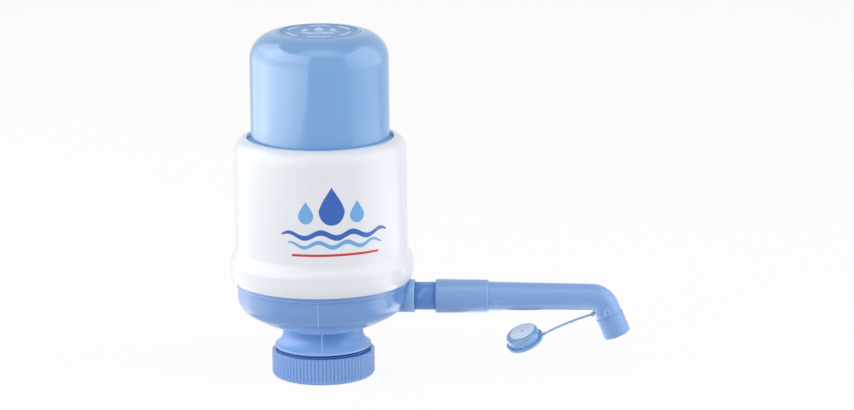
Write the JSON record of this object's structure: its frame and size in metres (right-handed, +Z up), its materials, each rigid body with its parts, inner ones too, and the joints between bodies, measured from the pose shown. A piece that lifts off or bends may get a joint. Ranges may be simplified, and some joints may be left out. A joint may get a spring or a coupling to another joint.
{
  "type": "water jug hand pump",
  "caption": "Hand-pressed bellows pump for a large water bottle: domed push cap, white shell, blue base, screw collar, side spout with a strapped dust cap.",
  "frame": {"origin": "on the pump's axis, in the plane of the screw collar's lower edge, which is the mouth that the bottle's neck enters", "axes": "+Z up along the pump's axis, +X along the spout"},
  "size_m": [0.2481, 0.114, 0.2172],
  "materials": {
    "blue_plastic": "moulded polypropylene, satin",
    "cap_plastic": "moulded, glossy",
    "white_shell": "moulded, glossy white with a printed water motif",
    "spout_plastic": "moulded polyethylene, satin",
    "soft_plastic": "moulded soft polyethylene, satin",
    "white_plastic": "moulded",
    "inner_plastic": "moulded",
    "bellows_rubber": "matt, food-safe",
    "seal_rubber": "matt",
    "screw_steel": "plated"
  },
  "bodies": {
    "housing": {"base_housing": "blue_plastic", "neck_seal": "seal_rubber", "riser_tube": "inner_plastic", "riser_o_ring": "seal_rubber", "waterway_elbow": "inner_plastic", "elbow_o_ring": "seal_rubber", "spout_o_ring": "seal_rubber", "deck_gasket": "seal_rubber", "deck_plate": "inner_plastic", "plate_screws": "screw_steel", "bellows": "bellows_rubber", "bellows_clamp_ring": "inner_plastic", "outer_shell": "white_shell"},
    "cap": {"push_cap": "cap_plastic", "press_plate": "inner_plastic"},
    "inlet_flap": {"inlet_valve": "seal_rubber"},
    "outlet_flap": {"outlet_valve": "seal_rubber"},
    "grip": {"grip_ring": "white_plastic"},
    "collar": {"screw_collar": "blue_plastic"},
    "spout": {"spout_coupling": "spout_plastic", "spout_tube": "spout_plastic", "spout_nozzle": "spout_plastic"},
    "strap": {"cap_strap": "soft_plastic"},
    "stopper": {"dust_cap": "soft_plastic"}
  },
  "joints": [
    {"name": "cap_press", "type": "slide", "parent": "housing", "child": "cap", "axis": [0, 0, -1], "range_m": [0, 0.042], "stiffness_N_per_m": 450, "springref_m": -0.008, "deforming": ["bellows"]},
    {"name": "inlet_valve_lift", "type": "slide", "parent": "cap", "child": "inlet_flap", "axis": [0, 0, -1], "range_m": [0, 0.001], "stiffness_N_per_m": 60},
    {"name": "outlet_valve_lift", "type": "slide", "parent": "housing", "child": "outlet_flap", "axis": [0, 0, -1], "range_m": [0, 0.001], "stiffness_N_per_m": 60},
    {"name": "collar_lift", "type": "slide", "parent": "housing", "child": "grip", "axis": [0, 0, 1], "range_m": [-0.004, 0.0022]},
    {"name": "collar_turn", "type": "hinge", "parent": "grip", "child": "collar", "pos_m": [0, 0, 0], "axis": [0, 0, 1], "range_deg": [-360, 198]},
    {"name": "spout_swivel", "type": "hinge", "parent": "housing", "child": "spout", "pos_m": [0.0576, 0, 0.05014], "axis": [1, 0, 0], "continuous": true},
    {"name": "strap_flex", "type": "hinge", "parent": "spout", "child": "strap", "pos_m": [0.16789, 0, 0.0392], "axis": [0, 1, 0], "range_deg": [-12, 6], "stiffness_Nm_per_rad": 0.05},
    {"name": "cap_flip", "type": "hinge", "parent": "strap", "child": "stopper", "pos_m": [0.13779, 0, 0.02639], "axis": [0, 1, 0], "range_deg": [-110, 12], "stiffness_Nm_per_rad": 0.02}
  ],
  "couplings": [
    {"joint": "collar_turn", "follows": "collar_lift", "rad_per_m": 1570.8}
  ]
}
